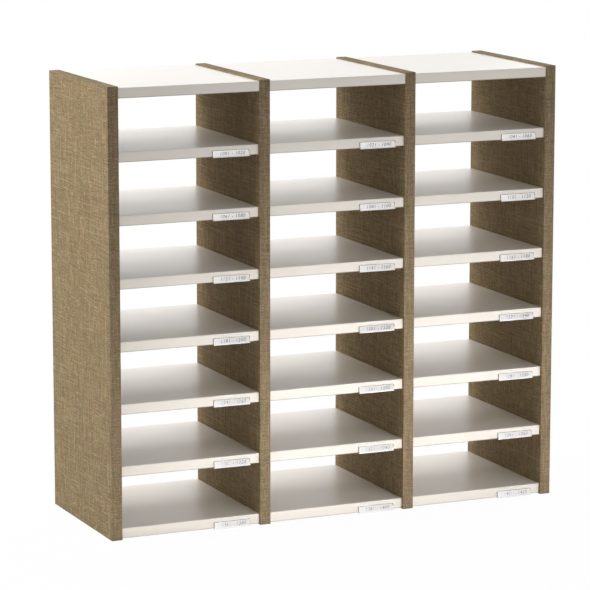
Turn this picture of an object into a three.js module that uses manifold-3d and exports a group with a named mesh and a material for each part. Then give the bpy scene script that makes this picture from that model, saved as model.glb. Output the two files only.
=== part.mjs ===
// Pigeonhole mail sorter: laminate-faced uprights carry bays of white boards that are glued on
// concealed dowels, open at the front and the back. A clear label holder is stuck to the front
// edge of every shelf and bottom board. Millimetres, +Z up, the front faces -Y, and the origin
// is the middle of the base.

import * as THREE from 'three';
import { mergeVertices } from 'three/addons/utils/BufferGeometryUtils.js';
import Module from 'manifold-3d';

// Bays, named from left to right as seen from the front
const BAYS = ['left', 'middle', 'right'];
const BAY_WIDTH = 274;
const PIGEONHOLES_PER_BAY = 7;

// Uprights: a board core with a decorative laminate skin on both faces and round the edges
const UPRIGHT_HEIGHT = 832;
const UPRIGHT_DEPTH = 308;
const UPRIGHT_CORE = 19;
const LAMINATE_SKIN = 0.9;
const UPRIGHT_CORNER_RADIUS = 2.5;
const UPRIGHT_EASED_END = 0.8;

// Boards: white melamine, flush with the uprights at the back and set back at the front
const BOARD_THICKNESS = 19;
const BOARD_FRONT_RECESS = 6;
const BOARD_EDGE_RADIUS = 1.6;
const TOP_BOARD_DROP = 3;
const BOTTOM_BOARD_RISE = 1.5;
const GLUE_LINE = 0.2;

// Dowels: two in each board end, in blind bores that leave a web in the middle of the upright
const DOWEL_DIAMETER = 8;
const DOWEL_INSET = 60;
const DOWEL_CLEARANCE = 0.3;
const BORE_WEB = 4;
const DOWEL_SIDES = 8;

// Label holders: a clear folded channel, narrow at its mouth and wide at its foot
const HOLDER_LENGTH = 72;
const HOLDER_HEIGHT = 12.7;
const HOLDER_WALL = 0.8;
const HOLDER_MOUTH = 0.6;
const HOLDER_FOOT = 3.4;
const HOLDER_FOLD_RADIUS = 1.2;
const HOLDER_OVERHANG = 1.2;
const HOLDER_END_INSET = 19;
const ADHESIVE_FILM = 0.2;

// Worked out from the sizes above
const UPRIGHT_THICKNESS = UPRIGHT_CORE + 2 * LAMINATE_SKIN;
const BAY_PITCH = BAY_WIDTH + UPRIGHT_THICKNESS;
const BOARD_LENGTH = BAY_WIDTH - 2 * GLUE_LINE;
const BOARD_DEPTH = UPRIGHT_DEPTH - BOARD_FRONT_RECESS;
const BOARD_FRONT = -UPRIGHT_DEPTH / 2 + BOARD_FRONT_RECESS;
const BOARD_BACK = BOARD_FRONT + BOARD_DEPTH;
const LOWEST_BOARD = BOTTOM_BOARD_RISE;
const HIGHEST_BOARD = UPRIGHT_HEIGHT - TOP_BOARD_DROP - BOARD_THICKNESS;
const BOARD_PITCH = (HIGHEST_BOARD - LOWEST_BOARD) / PIGEONHOLES_PER_BAY;
const BORE_DEPTH = (UPRIGHT_THICKNESS - BORE_WEB) / 2;
const DOWEL_STANDS_OUT = GLUE_LINE + BORE_DEPTH - DOWEL_CLEARANCE;
const DOWEL_PLACES = [BOARD_FRONT + DOWEL_INSET, BOARD_BACK - DOWEL_INSET];

const laminateFinish = new THREE.MeshStandardMaterial({ color: 0xa08b6b, roughness: 0.6, metalness: 0 });
const melamineFinish = new THREE.MeshStandardMaterial({ color: 0xf1ece6, roughness: 0.45, metalness: 0 });
const clearFinish = new THREE.MeshStandardMaterial({
  color: 0xf4f6f7,
  roughness: 0.15,
  metalness: 0,
  transparent: true,
  opacity: 0.35,
});

const wasm = await Module();
wasm.setup();

// A closed mesh as a solid that can be joined and cut
function toSolid(geometry) {
  geometry.deleteAttribute('normal');
  geometry.deleteAttribute('uv');
  const merged = mergeVertices(geometry);
  const mesh = new wasm.Mesh({
    numProp: 3,
    vertProperties: merged.attributes.position.array,
    triVerts: new Uint32Array(merged.index.array),
  });
  return new wasm.Manifold(mesh);
}

// A solid as a mesh for the scene graph
function toGeometry(solid) {
  const mesh = solid.getMesh();
  const geometry = new THREE.BufferGeometry();
  geometry.setAttribute('position', new THREE.BufferAttribute(mesh.vertProperties, 3));
  geometry.setIndex(new THREE.BufferAttribute(mesh.triVerts, 1));
  geometry.computeVertexNormals();
  return geometry;
}

// A rectangle with four round corners
function roundedRectangle(left, bottom, right, top, radius) {
  const outline = new THREE.Shape();
  outline.moveTo(left + radius, bottom);
  outline.lineTo(right - radius, bottom);
  outline.absarc(right - radius, bottom + radius, radius, -Math.PI / 2, 0);
  outline.lineTo(right, top - radius);
  outline.absarc(right - radius, top - radius, radius, 0, Math.PI / 2);
  outline.lineTo(left + radius, top);
  outline.absarc(left + radius, top - radius, radius, Math.PI / 2, Math.PI);
  outline.lineTo(left, bottom + radius);
  outline.absarc(left + radius, bottom + radius, radius, Math.PI, 1.5 * Math.PI);
  return outline;
}

// A section drawn in Y and Z, drawn out along X about the middle of its length
function extrudeAlongX(section, length, curveSegments) {
  const geometry = new THREE.ExtrudeGeometry(section, { depth: length, bevelEnabled: false, curveSegments });
  geometry.translate(0, 0, -length / 2);
  const alongX = new THREE.Vector3(1, 0, 0);
  const alongY = new THREE.Vector3(0, 1, 0);
  const alongZ = new THREE.Vector3(0, 0, 1);
  return geometry.applyMatrix4(new THREE.Matrix4().makeBasis(alongY, alongZ, alongX));
}

// A short round bar along X, from one X to another
function barAlongX(radius, fromX, toX, y, z) {
  const bar = new THREE.CylinderGeometry(radius, radius, toX - fromX, DOWEL_SIDES);
  bar.rotateZ(Math.PI / 2);
  bar.translate((fromX + toX) / 2, y, z);
  return toSolid(bar);
}

// Underside of a board, counted from the top board down
function boardUnderside(level) {
  return HIGHEST_BOARD - level * BOARD_PITCH;
}

// One upright standing on Z = 0, bored for dowels on each face that meets a bay
function uprightGeometry(boredLeft, boredRight) {
  const halfThickness = UPRIGHT_THICKNESS / 2;
  const halfDepth = UPRIGHT_DEPTH / 2;
  const plan = roundedRectangle(-halfThickness, -halfDepth, halfThickness, halfDepth, UPRIGHT_CORNER_RADIUS);
  const panel = new THREE.ExtrudeGeometry(plan, {
    depth: UPRIGHT_HEIGHT - 2 * UPRIGHT_EASED_END,
    bevelThickness: UPRIGHT_EASED_END,
    bevelSize: UPRIGHT_EASED_END,
    bevelOffset: -UPRIGHT_EASED_END,
    bevelSegments: 2,
    curveSegments: 4,
  });
  panel.translate(0, 0, UPRIGHT_EASED_END);
  let solid = toSolid(panel);
  const boreRadius = DOWEL_DIAMETER / 2 + DOWEL_CLEARANCE;
  const boreBottom = halfThickness - BORE_DEPTH;
  const boreMouth = halfThickness + GLUE_LINE;
  for (let level = 0; level <= PIGEONHOLES_PER_BAY; level++) {
    const z = boardUnderside(level) + BOARD_THICKNESS / 2;
    for (const y of DOWEL_PLACES) {
      if (boredLeft) {
        solid = solid.subtract(barAlongX(boreRadius, -boreMouth, -boreBottom, y, z));
      }
      if (boredRight) {
        solid = solid.subtract(barAlongX(boreRadius, boreBottom, boreMouth, y, z));
      }
    }
  }
  return toGeometry(solid);
}

// One board with eased edges, its underside at Z = 0, with dowels standing out of both ends
function boardGeometry() {
  const section = roundedRectangle(BOARD_FRONT, 0, BOARD_BACK, BOARD_THICKNESS, BOARD_EDGE_RADIUS);
  let solid = toSolid(extrudeAlongX(section, BOARD_LENGTH, 2));
  const tip = BOARD_LENGTH / 2 + DOWEL_STANDS_OUT;
  const root = BOARD_LENGTH / 2 - DOWEL_DIAMETER;
  for (const y of DOWEL_PLACES) {
    solid = solid.add(barAlongX(DOWEL_DIAMETER / 2, root, tip, y, BOARD_THICKNESS / 2));
    solid = solid.add(barAlongX(DOWEL_DIAMETER / 2, -tip, -root, y, BOARD_THICKNESS / 2));
  }
  return toGeometry(solid);
}

// One label holder: a back plate, a round fold along its foot and a flap that leans back over
// the card. Its back is at Y = 0 and its foot at Z = 0.
function holderGeometry() {
  const mouthDepth = HOLDER_MOUTH + 2 * HOLDER_WALL;
  const footDepth = HOLDER_FOOT + 2 * HOLDER_WALL;
  const lean = (footDepth - mouthDepth) / HOLDER_HEIGHT;
  const faceDepthAt = (z) => footDepth - lean * z;
  const section = new THREE.Shape();
  section.moveTo(0, 0);
  section.lineTo(-footDepth + HOLDER_FOLD_RADIUS, 0);
  section.quadraticCurveTo(-footDepth, 0, -faceDepthAt(HOLDER_FOLD_RADIUS), HOLDER_FOLD_RADIUS);
  section.lineTo(-mouthDepth, HOLDER_HEIGHT);
  section.lineTo(-mouthDepth + HOLDER_WALL, HOLDER_HEIGHT);
  section.lineTo(-faceDepthAt(HOLDER_WALL) + HOLDER_WALL, HOLDER_WALL);
  section.lineTo(-HOLDER_WALL, HOLDER_WALL);
  section.lineTo(-HOLDER_WALL, HOLDER_HEIGHT);
  section.lineTo(0, HOLDER_HEIGHT);
  return extrudeAlongX(section, HOLDER_LENGTH, 4);
}

const sorter = new THREE.Group();

function addPiece(name, geometry, finish, x, y, z) {
  const piece = new THREE.Mesh(geometry, finish.clone());
  piece.name = name;
  piece.position.set(x, y, z);
  sorter.add(piece);
}

// Uprights: a side panel at each end and a divider between neighbouring bays
const firstUprightX = -BAYS.length * BAY_PITCH / 2;
for (let place = 0; place <= BAYS.length; place++) {
  const isLeftEnd = place === 0;
  const isRightEnd = place === BAYS.length;
  let name = `divider_panel_${place}`;
  if (isLeftEnd) name = 'left_side_panel';
  if (isRightEnd) name = 'right_side_panel';
  addPiece(name, uprightGeometry(!isLeftEnd, !isRightEnd), laminateFinish, firstUprightX + place * BAY_PITCH, 0, 0);
}

// Boards and label holders: a top board, shelves and a bottom board in each bay
const board = boardGeometry();
const holder = holderGeometry();
const holderShift = BOARD_LENGTH / 2 - HOLDER_END_INSET - HOLDER_LENGTH / 2;
BAYS.forEach((bay, place) => {
  const bayX = firstUprightX + (place + 0.5) * BAY_PITCH;
  for (let level = 0; level <= PIGEONHOLES_PER_BAY; level++) {
    const z = boardUnderside(level);
    let name = `${bay}_shelf_${level}`;
    if (level === 0) name = `${bay}_top_board`;
    if (level === PIGEONHOLES_PER_BAY) name = `${bay}_bottom_board`;
    addPiece(name, board, melamineFinish, bayX, 0, z);
    if (level > 0) {
      const holderY = BOARD_FRONT - ADHESIVE_FILM;
      addPiece(`${bay}_label_holder_${level}`, holder, clearFinish, bayX + holderShift, holderY, z - HOLDER_OVERHANG);
    }
  }
});

export default sorter;
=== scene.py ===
"""Looks of a pigeonhole mail sorter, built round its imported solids. Metres, +Z up, front towards -Y."""

import math

import bmesh
import bpy
from mathutils import Matrix, Vector


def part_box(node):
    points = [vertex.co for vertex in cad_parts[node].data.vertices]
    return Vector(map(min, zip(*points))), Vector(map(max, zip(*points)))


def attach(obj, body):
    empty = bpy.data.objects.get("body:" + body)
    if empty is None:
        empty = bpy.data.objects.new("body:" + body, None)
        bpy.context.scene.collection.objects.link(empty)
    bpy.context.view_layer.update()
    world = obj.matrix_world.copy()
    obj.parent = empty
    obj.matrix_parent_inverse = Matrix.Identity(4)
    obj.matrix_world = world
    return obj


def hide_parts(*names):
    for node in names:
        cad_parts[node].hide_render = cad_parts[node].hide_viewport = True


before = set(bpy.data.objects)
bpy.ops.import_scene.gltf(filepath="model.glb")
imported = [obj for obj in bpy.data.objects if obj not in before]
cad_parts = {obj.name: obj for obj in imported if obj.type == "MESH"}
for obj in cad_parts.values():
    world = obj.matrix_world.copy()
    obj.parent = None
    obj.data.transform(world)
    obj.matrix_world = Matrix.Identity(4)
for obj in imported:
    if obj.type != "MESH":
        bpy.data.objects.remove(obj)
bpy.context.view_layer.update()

# Uprights: two side panels and two dividers of particle board, faced on both sides and round the edges
# with a printed linen laminate that is pressed on and trimmed flush. They stand on the floor, and the
# boards hang between them on glued dowels.
UPRIGHTS = {
    "left_upright": "left_side_panel",
    "left_divider_upright": "divider_panel_1",
    "right_divider_upright": "divider_panel_2",
    "right_upright": "right_side_panel",
}
UPRIGHT_ARRIS = 0.0006  # the trimmer leaves the laminate's corners almost sharp
EASING_STEPS = 4
# Each run of thread: its size in mm across a front edge, across a side, and upwards. The real threads are
# nearer 0.8 mm, drawn coarser so that they show, and most on the sides, which are seen at a slant.
LINEN_RUNS = {
    "warp": (2.2, 4.0, 60.0),
    "weft": (24.0, 60.0, 1.5),
    "fibres": (2.0, 4.5, 1.4),
    "warp_slubs": (1.8, 4.2, 18.0),
    "weft_slubs": (7.0, 30.0, 1.7),
    "long_slubs": (30.0, 170.0, 2.0),
    "dye": (5.0, 24.0, 36.0),
}
RUN_START = 3.0  # each run takes its own stretch of the noise, so that none repeats another
RUN_STEP = 10.0
THREAD_SHARES = {"warp": 0.75, "weft": 0.9, "fibres": 1.5}
WEAVE_RANGE = (0.795, 2.355)  # the sum of the threads, from a gap to a crossing of two thick ones
WEAVE_CONTRAST = 1.4
WEAVE_DEPTH = 0.0002
SLUB_STRENGTHS = {"warp_slubs": 0.3, "weft_slubs": 0.35, "long_slubs": 0.25}
SLUB_RANGE = (0.6, 0.74)
GAP_RANGE = (0.4, 0.26)
GAP_STRENGTH = 0.25
DYE_RANGE = (0.38, 0.62)
LINEN_GROUND = "665845"
LINEN_THREAD = "B5A383"
LINEN_SLUB = "D2C1A0"
LINEN_GAP = "5A4C37"
RUSSET_SHADE = "FEF8F3"
OLIVE_SHADE = "FBFBF1"
RUSSET_BAND_SHADE = "FBEEF2"
OLIVE_BAND_SHADE = "F2F5EA"


def linear(hex_colour):
    """An sRGB hex colour as the linear colour that a shader takes."""
    channels = [int(hex_colour[i : i + 2], 16) / 255 for i in (0, 2, 4)]
    return (*[c / 12.92 if c <= 0.04045 else ((c + 0.055) / 1.055) ** 2.4 for c in channels], 1.0)


def new_material(name):
    """A node material, with its node tree and its main shader."""
    material = bpy.data.materials.new(name)
    material.use_nodes = True
    return material, material.node_tree, material.node_tree.nodes["Principled BSDF"]


def add_node(tree, kind, sockets, **settings):
    """One shader node with its settings. Each socket, by name or number, takes a value or a link."""
    node = tree.nodes.new(kind)
    for name, value in settings.items():
        setattr(node, name, value)
    for socket, value in sockets.items():
        if isinstance(value, bpy.types.NodeSocket):
            tree.links.new(value, node.inputs[socket])
        else:
            node.inputs[socket].default_value = value
    return node


# Matt linen laminate: decor paper printed with a woven cloth, pressed under melamine resin with a matt
# plate. Thick and thin threads cross at right angles, so the eye sees short pale slubs both ways on a
# darker ground, a few dark gaps, and almost no gloss. The edge bands are from a slightly cooler roll.
linen, tree, shader = new_material("matt_linen_laminate")
shader.inputs["Roughness"].default_value = 0.7
shader.inputs["Specular IOR Level"].default_value = 0.05
place = add_node(tree, "ShaderNodeTexCoord", {}).outputs["Object"]
threads = {}
for run, sizes in LINEN_RUNS.items():
    start = len(threads) * RUN_STEP + RUN_START
    stretched = add_node(
        tree,
        "ShaderNodeMapping",
        {"Vector": place, "Location": (start, start, start), "Scale": [1000 / size for size in sizes]},
    )
    threads[run] = add_node(
        tree, "ShaderNodeTexNoise", {"Vector": stretched.outputs["Vector"], "Scale": 1.0, "Detail": 1.0}
    ).outputs["Fac"]
crossing = 0.0
for run, share in THREAD_SHARES.items():
    crossing = add_node(
        tree, "ShaderNodeMath", {0: threads[run], 1: share, 2: crossing}, operation="MULTIPLY_ADD"
    ).outputs[0]
relief_height = add_node(
    tree,
    "ShaderNodeMapRange",
    {"Value": crossing, "From Min": WEAVE_RANGE[0], "From Max": WEAVE_RANGE[1]},
)
weave = add_node(
    tree, "ShaderNodeMath", {0: relief_height.outputs["Result"], 1: WEAVE_CONTRAST}, operation="POWER"
)
cloth = add_node(
    tree,
    "ShaderNodeMix",
    {0: weave.outputs[0], 6: linear(LINEN_GROUND), 7: linear(LINEN_THREAD)},
    data_type="RGBA",
)
slubs = 0.0
for run, strength in SLUB_STRENGTHS.items():
    thick_part = add_node(
        tree,
        "ShaderNodeMapRange",
        {"Value": threads[run], "From Min": SLUB_RANGE[0], "From Max": SLUB_RANGE[1], "To Max": strength},
    )
    slubs = add_node(
        tree, "ShaderNodeMath", {0: thick_part.outputs["Result"], 1: slubs}, operation="MAXIMUM"
    ).outputs[0]
slubbed = add_node(
    tree, "ShaderNodeMix", {0: slubs, 6: cloth.outputs[2], 7: linear(LINEN_SLUB)}, data_type="RGBA"
)
gaps = add_node(
    tree,
    "ShaderNodeMapRange",
    {
        "Value": threads["warp_slubs"],
        "From Min": GAP_RANGE[0],
        "From Max": GAP_RANGE[1],
        "To Max": GAP_STRENGTH,
    },
)
gapped = add_node(
    tree,
    "ShaderNodeMix",
    {0: gaps.outputs["Result"], 6: slubbed.outputs[2], 7: linear(LINEN_GAP)},
    data_type="RGBA",
)
dye_side = add_node(
    tree,
    "ShaderNodeMapRange",
    {"Value": threads["dye"], "From Min": DYE_RANGE[0], "From Max": DYE_RANGE[1]},
)
face_shade = add_node(
    tree,
    "ShaderNodeMix",
    {0: dye_side.outputs["Result"], 6: linear(RUSSET_SHADE), 7: linear(OLIVE_SHADE)},
    data_type="RGBA",
)
band_shade = add_node(
    tree,
    "ShaderNodeMix",
    {0: dye_side.outputs["Result"], 6: linear(RUSSET_BAND_SHADE), 7: linear(OLIVE_BAND_SHADE)},
    data_type="RGBA",
)
facing = add_node(tree, "ShaderNodeNewGeometry", {})
facing_axes = add_node(tree, "ShaderNodeSeparateXYZ", {"Vector": facing.outputs["Normal"]})
on_band = add_node(tree, "ShaderNodeMath", {0: facing_axes.outputs["Y"]}, operation="ABSOLUTE")
shade = add_node(
    tree,
    "ShaderNodeMix",
    {0: on_band.outputs[0], 6: face_shade.outputs[2], 7: band_shade.outputs[2]},
    data_type="RGBA",
)
linen_colour = add_node(
    tree,
    "ShaderNodeMix",
    {0: 1.0, 6: gapped.outputs[2], 7: shade.outputs[2]},
    data_type="RGBA",
    blend_type="MULTIPLY",
)
tree.links.new(linen_colour.outputs[2], shader.inputs["Base Color"])
relief = add_node(
    tree,
    "ShaderNodeBump",
    {"Height": relief_height.outputs["Result"], "Strength": 0.1, "Distance": WEAVE_DEPTH},
)
tree.links.new(relief.outputs["Normal"], shader.inputs["Normal"])


def new_piece(name, mesh):
    """A piece of the scene from a finished mesh."""
    piece = bpy.data.objects.new(name, bpy.data.meshes.new(name))
    mesh.to_mesh(piece.data)
    mesh.free()
    bpy.context.scene.collection.objects.link(piece)
    return piece


def trimmed_board(name, low, high, easing, along):
    """A board between two corners. Its edges that run along the given axes are eased to a radius."""
    mesh = bmesh.new()
    bmesh.ops.create_cube(mesh, matrix=Matrix.LocRotScale((low + high) / 2, None, high - low))
    eased_edges = []
    for edge in mesh.edges:
        run = edge.verts[0].co - edge.verts[1].co
        if any(abs(run[axis]) > easing for axis in along):
            eased_edges.append(edge)
    bmesh.ops.bevel(
        mesh, geom=eased_edges, offset=easing, segments=EASING_STEPS, profile=0.5, affect="EDGES"
    )
    return new_piece(name, mesh)


for name, panel in UPRIGHTS.items():
    low, high = (Vector(corner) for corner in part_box(panel))
    upright = trimmed_board(name, low, high, UPRIGHT_ARRIS, (0, 1, 2))
    upright.data.materials.append(linen)
    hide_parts(panel)
    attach(upright, "root")

# Boards: top boards, shelves and bottom boards of particle board with white melamine faces, and white
# edge strips ironed on at front and back. Two dowels in each end hold them between the uprights. The top
# boards come nearly flush with the uprights' front edges.
BAYS = ["left", "middle", "right"]
SHELF_ROWS = range(1, 7)
BOARD_ARRIS = 0.0016
TOP_REACH = 0.0046  # how much further forward than a shelf a top board comes
TOP_RISE = 0.0003
BOARD_COLOUR = "ECE6DE"
BOARD_COLOUR_HIGH = "EFEAE2"
STRIP_TINT = "FFFDFB"
# painted shade: the grey that darkens each board's downward-facing lower arris
LOWER_ARRIS_SHADE_TINT = "AFA8A0"
ARRIS_TURN = (-0.15, -0.3)  # how far down a face looks where the lower arris begins, and where it is full
UNDERSIDE_TURN = (-0.99, -0.95)
SATIN_ROUGHNESS = (0.3, 0.38)
PEEL_MM = 4.0  # the faint ripple that the press leaves
PEEL_DEPTH = 0.0001
SHEEN_MM = 60.0
CLOUD_MM = 120.0

# White melamine: decor paper in hard melamine resin, pressed with a satin plate. It is an even warm
# white, and at a low angle it mirrors what stands behind it with soft edges. The lower arris, which faces
# down, is darkened grey with painted shade.
melamine, tree, shader = new_material("satin_white_melamine")
shader.inputs["IOR"].default_value = 1.6
place = add_node(tree, "ShaderNodeTexCoord", {}).outputs["Object"]
cloud = add_node(tree, "ShaderNodeTexNoise", {"Vector": place, "Scale": 1000 / CLOUD_MM, "Detail": 2.0})
whites = add_node(
    tree,
    "ShaderNodeMix",
    {0: cloud.outputs["Fac"], 6: linear(BOARD_COLOUR), 7: linear(BOARD_COLOUR_HIGH)},
    data_type="RGBA",
)
facing = add_node(tree, "ShaderNodeNewGeometry", {})
facing_axes = add_node(tree, "ShaderNodeSeparateXYZ", {"Vector": facing.outputs["Normal"]})
edge_strip = add_node(tree, "ShaderNodeMath", {0: facing_axes.outputs["Y"]}, operation="ABSOLUTE")
board_colour = add_node(
    tree,
    "ShaderNodeMix",
    {0: edge_strip.outputs[0], 6: whites.outputs[2], 7: linear(STRIP_TINT)},
    data_type="RGBA",
    blend_type="MULTIPLY",
)
below = add_node(
    tree,
    "ShaderNodeMapRange",
    {"Value": facing_axes.outputs["Z"], "From Min": ARRIS_TURN[0], "From Max": ARRIS_TURN[1]},
)
not_underside = add_node(
    tree,
    "ShaderNodeMapRange",
    {"Value": facing_axes.outputs["Z"], "From Min": UNDERSIDE_TURN[0], "From Max": UNDERSIDE_TURN[1]},
)
painted_arris_shade = add_node(
    tree,
    "ShaderNodeMath",
    {0: below.outputs["Result"], 1: not_underside.outputs["Result"]},
    operation="MULTIPLY",
)
# Painted shade: facets that face down at the lower arris, but not the flat underside, are multiplied grey.
arris_shaded_colour = add_node(
    tree,
    "ShaderNodeMix",
    {0: painted_arris_shade.outputs[0], 6: board_colour.outputs[2], 7: linear(LOWER_ARRIS_SHADE_TINT)},
    data_type="RGBA",
    blend_type="MULTIPLY",
)
tree.links.new(arris_shaded_colour.outputs[2], shader.inputs["Base Color"])
rubbed = add_node(tree, "ShaderNodeTexNoise", {"Vector": place, "Scale": 1000 / SHEEN_MM, "Detail": 3.0})
satin = add_node(
    tree,
    "ShaderNodeMapRange",
    {"Value": rubbed.outputs["Fac"], "To Min": SATIN_ROUGHNESS[0], "To Max": SATIN_ROUGHNESS[1]},
)
tree.links.new(satin.outputs["Result"], shader.inputs["Roughness"])
peel = add_node(tree, "ShaderNodeTexNoise", {"Vector": place, "Scale": 1000 / PEEL_MM, "Detail": 1.0})
relief = add_node(
    tree, "ShaderNodeBump", {"Height": peel.outputs["Fac"], "Strength": 0.04, "Distance": PEEL_DEPTH}
)
tree.links.new(relief.outputs["Normal"], shader.inputs["Normal"])

panels = list(UPRIGHTS.values())
for bay, left_panel, right_panel in zip(BAYS, panels, panels[1:]):
    for name in [*[f"{bay}_shelf_{row}" for row in SHELF_ROWS], f"{bay}_bottom_board"]:
        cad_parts[name].data.materials.clear()
        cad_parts[name].data.materials.append(melamine)
    low, high = (Vector(corner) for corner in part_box(f"{bay}_top_board"))
    low = Vector((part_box(left_panel)[1][0], low.y - TOP_REACH, low.z + TOP_RISE))
    high = Vector((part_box(right_panel)[0][0], high.y, high.z + TOP_RISE))
    cover = trimmed_board(f"{bay}_cover_board", low, high, BOARD_ARRIS, (0,))
    cover.data.materials.append(melamine)
    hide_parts(f"{bay}_top_board")
    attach(cover, "root")

# Label holders: a clear strip extruded as a back plate, a round fold and a flap that leans back, sawn to
# length. A film of adhesive sticks each one to a board's front edge, near its right-hand end.
PIGEONHOLES = range(1, 8)
HOLDER_WALL = 0.0008
HOLDER_MOUTH = 0.0006
FOLD_RADIUS = 0.0012
INNER_FOLD_RADIUS = 0.0005
LIP_RADIUS = 0.00035
LIP_DROP = 0.0007  # how far below the top the flap starts to round off
PLATE_EASE = 0.0002
FOLD_INSET = 1.05  # the flap leans, so each arc's centre lies a little more than its radius inside
INNER_FOLD_INSET = 1.4
LIP_INSET = 1.15
WALL_ON_SLANT = 1.06
FOLD_STEPS = 6
LIP_STEPS = 3
EDGE_SHADE_MARGIN = 0.0006  # how far in from each saw cut the strip is split; at the left end that band is painted grey as shade
FOLD_HIGHLIGHT_HEIGHT = 0.0024  # how far up the flap the fold's painted highlight reaches
PVC_IOR = 1.53
PVC_ROUGHNESS = (0.02, 0.08)
PVC_COLOURS = ("FCFCFB", "FEFEFE")
EDGE_SHADE_COLOURS = ("9A9A9C", "B4B4B6")
FOLD_HIGHLIGHT_COLOURS = ("F2F2F4", "FAFAFB")
DIE_LINES_MM = (40.0, 1.2, 1.2)
EDGE_MOTTLE_MM = 0.5
FOLD_MOTTLE_MM = 3.0

# Clear rigid PVC: extruded, so it is smooth and glossy. It hardly tints what is behind it and shows
# itself mostly by its reflections.
clear_pvc, tree, shader = new_material("clear_rigid_pvc")
shader.inputs["IOR"].default_value = PVC_IOR
shader.inputs["Transmission Weight"].default_value = 1.0
place = add_node(tree, "ShaderNodeTexCoord", {}).outputs["Object"]
die_lines = add_node(
    tree, "ShaderNodeMapping", {"Vector": place, "Scale": [1000 / size for size in DIE_LINES_MM]}
)
drawn = add_node(
    tree, "ShaderNodeTexNoise", {"Vector": die_lines.outputs["Vector"], "Scale": 1.0, "Detail": 1.0}
)
pvc_colour = add_node(
    tree,
    "ShaderNodeMix",
    {0: drawn.outputs["Fac"], 6: linear(PVC_COLOURS[0]), 7: linear(PVC_COLOURS[1])},
    data_type="RGBA",
)
tree.links.new(pvc_colour.outputs[2], shader.inputs["Base Color"])
gloss = add_node(
    tree,
    "ShaderNodeMapRange",
    {"Value": drawn.outputs["Fac"], "To Min": PVC_ROUGHNESS[0], "To Max": PVC_ROUGHNESS[1]},
)
tree.links.new(gloss.outputs["Result"], shader.inputs["Roughness"])

# Shaded PVC edge: the same plastic along the flap's top lip and across its left-hand saw cut, painted
# grey as shade so that it shows as a thin grey line.
shaded_pvc_edge, tree, shader = new_material("pvc_edge_painted_shade")
shader.inputs["IOR"].default_value = PVC_IOR
shader.inputs["Roughness"].default_value = 0.5
shader.inputs["Alpha"].default_value = 0.2
place = add_node(tree, "ShaderNodeTexCoord", {}).outputs["Object"]
edge_mottle = add_node(
    tree, "ShaderNodeTexNoise", {"Vector": place, "Scale": 1000 / EDGE_MOTTLE_MM, "Detail": 1.0}
)
edge_shade_colour = add_node(
    tree,
    "ShaderNodeMix",
    {0: edge_mottle.outputs["Fac"], 6: linear(EDGE_SHADE_COLOURS[0]), 7: linear(EDGE_SHADE_COLOURS[1])},
    data_type="RGBA",
)
tree.links.new(edge_shade_colour.outputs[2], shader.inputs["Base Color"])

# Fold highlight: the same plastic round the fold, painted opaque white as a highlight where the fold
# catches the light. It is only faintly glossy, and hides what is behind it.
fold_highlight_pvc, tree, shader = new_material("pvc_fold_painted_highlight")
shader.inputs["IOR"].default_value = PVC_IOR
shader.inputs["Roughness"].default_value = 0.3
place = add_node(tree, "ShaderNodeTexCoord", {}).outputs["Object"]
fold_mottle = add_node(tree, "ShaderNodeTexNoise", {"Vector": place, "Scale": 1000 / FOLD_MOTTLE_MM, "Detail": 2.0})
fold_highlight_colour = add_node(
    tree,
    "ShaderNodeMix",
    {0: fold_mottle.outputs["Fac"], 6: linear(FOLD_HIGHLIGHT_COLOURS[0]), 7: linear(FOLD_HIGHLIGHT_COLOURS[1])},
    data_type="RGBA",
)
tree.links.new(fold_highlight_colour.outputs[2], shader.inputs["Base Color"])


def arc(centre, radius, start, end, steps):
    """Points of an arc in a section, with angles in degrees."""
    turns = [math.radians(start + (end - start) * i / steps) for i in range(steps + 1)]
    return [(centre[0] + radius * math.cos(t), centre[1] + radius * math.sin(t)) for t in turns]


def holder_section(depth, height):
    """The strip's outline, as pairs of depth forward of its back and height above its foot."""
    mouth_depth = HOLDER_MOUTH + 2 * HOLDER_WALL
    lean = (depth - mouth_depth) / height
    tilt = math.degrees(math.atan(lean))
    fold = (depth - FOLD_RADIUS * FOLD_INSET, FOLD_RADIUS)
    inner_fold = (
        depth - HOLDER_WALL * WALL_ON_SLANT - INNER_FOLD_RADIUS * INNER_FOLD_INSET,
        HOLDER_WALL + INNER_FOLD_RADIUS,
    )
    lip = (mouth_depth - LIP_RADIUS * LIP_INSET, height - LIP_RADIUS)
    inner_lip = (mouth_depth - HOLDER_WALL + LIP_RADIUS, height - LIP_RADIUS)
    points = [(0.0, 0.0)]
    points += arc(fold, FOLD_RADIUS, -90, tilt, FOLD_STEPS)
    points += [(depth - lean * FOLD_HIGHLIGHT_HEIGHT, FOLD_HIGHLIGHT_HEIGHT)]
    points += [(mouth_depth + lean * LIP_DROP, height - LIP_DROP)]
    points += arc(lip, LIP_RADIUS, tilt, 90, LIP_STEPS)
    points += arc(inner_lip, LIP_RADIUS, 90, 180 + tilt, LIP_STEPS)
    points += arc(inner_fold, INNER_FOLD_RADIUS, tilt, -90, LIP_STEPS)
    points += [(HOLDER_WALL, HOLDER_WALL)]
    points += [(HOLDER_WALL, height - PLATE_EASE), (HOLDER_WALL - PLATE_EASE, height)]
    points += [(0.0, height)]
    return points


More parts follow.
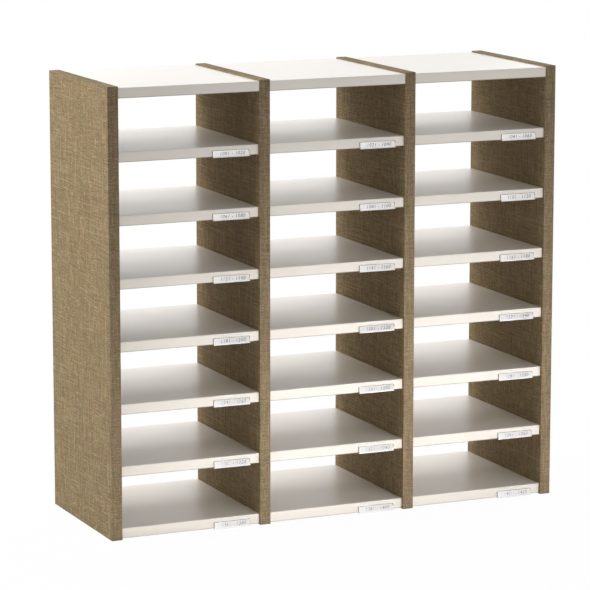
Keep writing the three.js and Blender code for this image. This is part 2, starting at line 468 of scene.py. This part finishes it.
# Where the outline's corners pass from the fold to the flap, to the lip and past it, and the strip's slots
FLAP_START = FOLD_STEPS + 2
LIP_START = FLAP_START + 1
LIP_END = LIP_START + 2 * (LIP_STEPS + 1)
CLEAR, SHADED_EDGE, FOLD_HIGHLIGHT = range(3)
for bay in BAYS:
    for row in PIGEONHOLES:
        name = f"{bay}_label_holder_{row}"
        low, high = (Vector(corner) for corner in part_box(name))
        outline = holder_section(high.y - low.y, high.z - low.z)
        stations = [low.x, low.x + EDGE_SHADE_MARGIN, high.x - EDGE_SHADE_MARGIN, high.x]
        mesh = bmesh.new()
        rings = [[mesh.verts.new((x, high.y - d, low.z + h)) for d, h in outline] for x in stations]
        for side, (near, far) in enumerate(zip(rings, rings[1:])):
            for corner in range(len(outline)):
                after = (corner + 1) % len(outline)
                wall = mesh.faces.new((near[corner], near[after], far[after], far[corner]))
                on_lip = LIP_START <= corner < LIP_END
                on_left_end = side == 0 and FLAP_START <= corner < LIP_END
                # Painted shade: the lip and the flap's left end take the grey edge material.
                if on_lip or on_left_end:
                    wall.material_index = SHADED_EDGE
                # Painted highlight: the fold and the flap's foot take the white fold material.
                if corner < FLAP_START:
                    wall.material_index = FOLD_HIGHLIGHT
                wall.smooth = True
        # Painted shade: the whole left-hand end is grey.
        left_end = mesh.faces.new(rings[0])
        left_end.material_index = SHADED_EDGE
        right_end = mesh.faces.new(rings[-1][::-1])
        right_end.material_index = CLEAR
        bmesh.ops.recalc_face_normals(mesh, faces=mesh.faces)
        holder = new_piece(f"{bay}_label_strip_{row}", mesh)
        holder.data.materials.append(clear_pvc)
        holder.data.materials.append(shaded_pvc_edge)
        holder.data.materials.append(fold_highlight_pvc)
        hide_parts(name)
        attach(holder, "root")

# Cards: slips of white card, guillotined, printed in grey with the numbers of the boxes that each
# pigeonhole serves. Each one drops into its holder and leans against the flap.
CARD_MARGIN = 0.0009
CARD_THICKNESS = 0.00025
CARD_CLEARANCE = 0.00012
CARD_FOOT_GAP = 0.00012
CARD_TOP_GAP = 0.0003
CARD_BOW = 0.00008
CARD_COLUMNS = 24
FLAP_ALLOWANCE = 1.05  # the flap's wall, measured level, is thicker than the wall itself
FIGURE_HEIGHT = 0.0092
FIGURE_SLANT = 0.25
FIGURE_SPREAD = 0.00016  # how far the ink has spread past the type
FIGURE_SPACING = 1.12
FIGURE_PLACE = 0.53  # the middle of the print, as a share of the card's length
INK_FILM = 0.00002
FIRST_NUMBER = 1001
NUMBERS_PER_HOLE = 20
CARD_COLOURS = ("F8F6F5", "FEFCFB")
RIGHT_END_GREY = "E4E0DD"
GREYING_RANGE = (0.1, 0.8)  # shares of the card's length
# painted light: the colour of the card's faint glow, though it is no lamp
CARD_GLOW_COLOUR = "FFFDFB"
CARD_PAINTED_GLOW = 0.26
INK_COLOURS = ("9A9B9F", "ABACAF")
PULP_MM = 2.5
SOAK_MM = 1.0

# White card: uncoated pulp board, dull, with a faint mottle of fibres. It glows faintly with painted
# light of its own, and it is greyer towards its right-hand end.
card_stock, tree, shader = new_material("uncoated_white_card")
# Painted light: the card glows faintly of itself.
shader.inputs["Emission Color"].default_value = linear(CARD_GLOW_COLOUR)
shader.inputs["Emission Strength"].default_value = CARD_PAINTED_GLOW
shader.inputs["Roughness"].default_value = 0.8
place = add_node(tree, "ShaderNodeTexCoord", {}).outputs["Object"]
pulp = add_node(tree, "ShaderNodeTexNoise", {"Vector": place, "Scale": 1000 / PULP_MM, "Detail": 3.0})
pulp_colour = add_node(
    tree,
    "ShaderNodeMix",
    {0: pulp.outputs["Fac"], 6: linear(CARD_COLOURS[0]), 7: linear(CARD_COLOURS[1])},
    data_type="RGBA",
)
along_card = add_node(tree, "ShaderNodeTexCoord", {}).outputs["Generated"]
along_axes = add_node(tree, "ShaderNodeSeparateXYZ", {"Vector": along_card})
# The card turns greyer from near its left end to near its right-hand end.
towards_right_end = add_node(
    tree,
    "ShaderNodeMapRange",
    {"Value": along_axes.outputs["X"], "From Min": GREYING_RANGE[0], "From Max": GREYING_RANGE[1]},
)
greyed_card_colour = add_node(
    tree,
    "ShaderNodeMix",
    {0: towards_right_end.outputs["Result"], 6: pulp_colour.outputs[2], 7: linear(RIGHT_END_GREY)},
    data_type="RGBA",
)
tree.links.new(greyed_card_colour.outputs[2], shader.inputs["Base Color"])

# Grey printing ink: soaked into the card, so it is dull and uneven.
grey_ink, tree, shader = new_material("grey_printing_ink")
shader.inputs["Roughness"].default_value = 0.7
place = add_node(tree, "ShaderNodeTexCoord", {}).outputs["Object"]
soak = add_node(tree, "ShaderNodeTexNoise", {"Vector": place, "Scale": 1000 / SOAK_MM, "Detail": 2.0})
ink_colour = add_node(
    tree,
    "ShaderNodeMix",
    {0: soak.outputs["Fac"], 6: linear(INK_COLOURS[0]), 7: linear(INK_COLOURS[1])},
    data_type="RGBA",
)
tree.links.new(ink_colour.outputs[2], shader.inputs["Base Color"])

STOCK, INK = range(2)
for column, bay in enumerate(BAYS):
    for row in PIGEONHOLES:
        low, high = (Vector(corner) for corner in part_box(f"{bay}_label_holder_{row}"))
        depth = high.y - low.y
        height = high.z - low.z
        lean = (depth - HOLDER_MOUTH - 2 * HOLDER_WALL) / height
        foot = HOLDER_WALL + CARD_FOOT_GAP
        card_height = (height - foot - CARD_TOP_GAP) * math.hypot(1, lean)
        card_length = high.x - low.x - 2 * CARD_MARGIN
        face_depth = depth - HOLDER_WALL * FLAP_ALLOWANCE - lean * foot - CARD_CLEARANCE
        # The card's own axes: along it, up its face, and out of its face
        up = Vector((0.0, lean, 1.0)).normalized()
        along = Vector((1.0, 0.0, 0.0))
        out = along.cross(up)
        corner_place = Vector((low.x + CARD_MARGIN, high.y - face_depth, low.z + foot))
        lie = Matrix.Translation(corner_place) @ Matrix((along, up, out)).transposed().to_4x4()

        first = FIRST_NUMBER + ((row - 1) * len(BAYS) + column) * NUMBERS_PER_HOLE
        figures = bpy.data.curves.new("figures", "FONT")
        figures.body = f"{first} - {first + NUMBERS_PER_HOLE - 1}"
        figures.size = FIGURE_HEIGHT
        figures.shear = FIGURE_SLANT
        figures.offset = FIGURE_SPREAD
        figures.space_character = FIGURE_SPACING
        figures.align_x = "CENTER"
        figures.align_y = "CENTER"
        figures.resolution_u = 3
        print_object = bpy.data.objects.new("figures", figures)
        bpy.context.scene.collection.objects.link(print_object)
        print_mesh = bpy.data.meshes.new_from_object(
            print_object.evaluated_get(bpy.context.evaluated_depsgraph_get())
        )
        print_mesh.transform(Matrix.Translation((card_length * FIGURE_PLACE, card_height * 0.5, INK_FILM)))
        bpy.data.objects.remove(print_object)
        bpy.data.curves.remove(figures)

        mesh = bmesh.new()
        mesh.from_mesh(print_mesh)
        for face in mesh.faces:
            face.material_index = INK
        bpy.data.meshes.remove(print_mesh)
        sheets = []
        for back in (0.0, CARD_THICKNESS):
            grid = []
            for i in range(CARD_COLUMNS + 1):
                part = i / CARD_COLUMNS
                bow = CARD_BOW * (4 * part * (1 - part) - 1)
                x = card_length * part
                rises = (0.0, card_height / 2, card_height)
                grid.append([mesh.verts.new((x, rise, bow - back)) for rise in rises])
            sheets.append(grid)
        front, rear = sheets
        for i in range(CARD_COLUMNS):
            for j in range(2):
                mesh.faces.new((front[i][j], front[i + 1][j], front[i + 1][j + 1], front[i][j + 1]))
                mesh.faces.new((rear[i][j], rear[i][j + 1], rear[i + 1][j + 1], rear[i + 1][j]))
            mesh.faces.new((front[i][0], rear[i][0], rear[i + 1][0], front[i + 1][0]))
            mesh.faces.new((front[i][2], front[i + 1][2], rear[i + 1][2], rear[i][2]))
        for i in (0, CARD_COLUMNS):
            for j in range(2):
                mesh.faces.new((front[i][j], front[i][j + 1], rear[i][j + 1], rear[i][j]))
        slip_faces = [face for face in mesh.faces if face.material_index == STOCK]
        bmesh.ops.recalc_face_normals(mesh, faces=slip_faces)
        mesh.transform(lie)
        card = new_piece(f"{bay}_card_{row}", mesh)
        card.data.materials.append(card_stock)
        card.data.materials.append(grey_ink)
        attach(card, "root")

# Floor: a roll of white studio paper laid flat under the sorter and far out behind it. It is lit nearly
# to white, and keeps a faint shadow round the uprights.
FLOOR_SIZE = 80.0
FLOOR_DROP = 0.0003
SHADOW_SHARE = 0.025
SHADOW_START = 0.6
SHADOW_REACH = 1.6
PAPER_COLOURS = ("F3F3F2", "F6F6F5")
MOTTLE_MM = 30.0


def seen_plainly(tree):
    """1 for what the camera sees, directly, in gloss or through clear plastic, and 0 for cast light."""
    ray = add_node(tree, "ShaderNodeLightPath", {})
    seen = 0.0
    for kind in ("Is Camera Ray", "Is Glossy Ray", "Is Transmission Ray"):
        seen = add_node(
            tree, "ShaderNodeMath", {0: seen, 1: ray.outputs[kind]}, operation="MAXIMUM"
        ).outputs[0]
    return seen


# White studio paper: matt, very slightly mottled. Seen by the camera, or in gloss and clear plastic, it
# fades to plain white away from the sorter.
paper, tree, shader = new_material("white_studio_paper")
shader.inputs["Roughness"].default_value = 0.9
place = add_node(tree, "ShaderNodeTexCoord", {}).outputs["Object"]
mottle = add_node(tree, "ShaderNodeTexNoise", {"Vector": place, "Scale": 1000 / MOTTLE_MM, "Detail": 2.0})
paper_colour = add_node(
    tree,
    "ShaderNodeMix",
    {0: mottle.outputs["Fac"], 6: linear(PAPER_COLOURS[0]), 7: linear(PAPER_COLOURS[1])},
    data_type="RGBA",
)
tree.links.new(paper_colour.outputs[2], shader.inputs["Base Color"])
white = add_node(tree, "ShaderNodeEmission", {"Strength": 1.0})
distance = add_node(tree, "ShaderNodeVectorMath", {0: place}, operation="LENGTH")
whiteness = add_node(
    tree,
    "ShaderNodeMapRange",
    {
        "Value": distance.outputs["Value"],
        "From Min": SHADOW_START,
        "From Max": SHADOW_REACH,
        "To Min": 1 - SHADOW_SHARE,
    },
    interpolation_type="SMOOTHSTEP",
)
white_share = add_node(
    tree,
    "ShaderNodeMath",
    {0: seen_plainly(tree), 1: whiteness.outputs["Result"]},
    operation="MULTIPLY",
)
lit_paper = add_node(
    tree, "ShaderNodeMixShader", {0: white_share.outputs[0], 1: shader.outputs[0], 2: white.outputs[0]}
)
tree.links.new(lit_paper.outputs[0], tree.nodes["Material Output"].inputs["Surface"])
half = FLOOR_SIZE / 2
floor_corners = [(-half, -half, 0), (half, -half, 0), (half, half, 0), (-half, half, 0)]
floor = bpy.data.objects.new("floor", bpy.data.meshes.new("floor"))
floor.data.from_pydata(floor_corners, [], [(0, 1, 2, 3)])
floor.location.z = -FLOOR_DROP
floor.data.materials.append(paper)
bpy.context.scene.collection.objects.link(floor)

# Camera: it stands where the photograph was taken from, to the left of the sorter and a little above it.
# The long lens keeps the uprights nearly parallel.
CAMERA_PLACE = (-2.39639, -5.35214, 1.45757)
CAMERA_DIP = 10.241  # degrees below level
CAMERA_TURN = 23.9514  # degrees to the right of straight back
LENS_MM = 191.044
SENSOR_MM = 36.0
camera = bpy.data.objects.new("camera", bpy.data.cameras.new("camera"))
camera.data.sensor_width = SENSOR_MM
camera.data.lens = LENS_MM
camera.data.clip_end = 100.0
camera.location = CAMERA_PLACE
camera.rotation_euler = (math.radians(90 - CAMERA_DIP), 0.0, math.radians(-CAMERA_TURN))
bpy.context.scene.collection.objects.link(camera)
bpy.context.scene.camera = camera

# Studio light: soft boxes high behind and to the left, and low ones in front that do the work of a white
# floor, so they don't show in gloss. The surroundings are white to the eye and in gloss, and dim as a
# light.
AMBIENT = 0.3
SOFT_BOXES = {
    # name: place, aim, width, height, spread in degrees, radiance, colour
    "back": ((0.0, 1.8, 1.2), (0.0, 0.15, 0.2), 3.0, 0.3, 60, 0.76, "FAFBFF"),
    "back_high": ((0.0, 1.8, 1.85), (0.0, 0.0, 0.45), 3.0, 0.7, 180, 1.84, "FEFCFE"),
    "back_right": ((2.2, 1.6, 1.1), (0.0, 0.0, 0.4), 1.6, 2.0, 180, 2.22, "FFFFFF"),
    "back_right_high": ((1.0, 1.6, 1.7), (0.0, 0.0, 0.45), 1.0, 0.4, 180, 1.26, "FFFFFF"),
    "left": ((-2.6, 0.3, 1.8), (-0.45, 0.0, 0.7), 1.6, 1.0, 70, 2.02, "FFFCF6"),
    "front": ((1.1, -2.6, 0.9), (0.25, -0.15, 0.35), 1.6, 0.8, 60, 0.38, "FFFFFF"),
    "front_low": ((0.2, -2.0, 0.3), (0.14, -0.15, 0.3), 1.0, 0.3, 36, 1.0, "FFFFFF"),
    "front_low_right": ((0.7, -2.0, 0.25), (0.25, -0.15, 0.13), 1.0, 0.3, 25, 0.36, "FFFFFF"),
    "front_low_left": ((-0.5, -2.0, 0.2), (-0.3, -0.15, 0.05), 0.6, 0.3, 25, 0.34, "FFFFFF"),
    "foot_bounce": ((0.05, -0.21, 0.006), (0.05, -0.21, 1.0), 1.2, 0.1, 180, 0.16, "FFFFFF"),
}
world = bpy.data.worlds.new("white_studio")
world.use_nodes = True
tree = world.node_tree
brightness = add_node(
    tree, "ShaderNodeMapRange", {"Value": seen_plainly(tree), "To Min": AMBIENT, "To Max": 1.0}
)
tree.nodes["Background"].inputs["Color"].default_value = linear("FFFFFF")
tree.links.new(brightness.outputs["Result"], tree.nodes["Background"].inputs["Strength"])
bpy.context.scene.world = world
for name, (spot, aim, width, height, spread, radiance, colour) in SOFT_BOXES.items():
    box = bpy.data.objects.new(name, bpy.data.lights.new(name, "AREA"))
    box.data.shape = "RECTANGLE"
    box.data.size = width
    box.data.size_y = height
    box.data.spread = math.radians(spread)
    box.data.color = linear(colour)[:3]
    box.data.energy = math.pi * width * height * radiance
    box.location = spot
    box.rotation_euler = (Vector(aim) - Vector(spot)).to_track_quat("-Z", "Y").to_euler()
    box.visible_camera = False
    box.visible_glossy = not name.startswith("front_low")
    box.visible_transmission = False
    bpy.context.scene.collection.objects.link(box)

bpy.context.scene.view_settings.view_transform = "Standard"
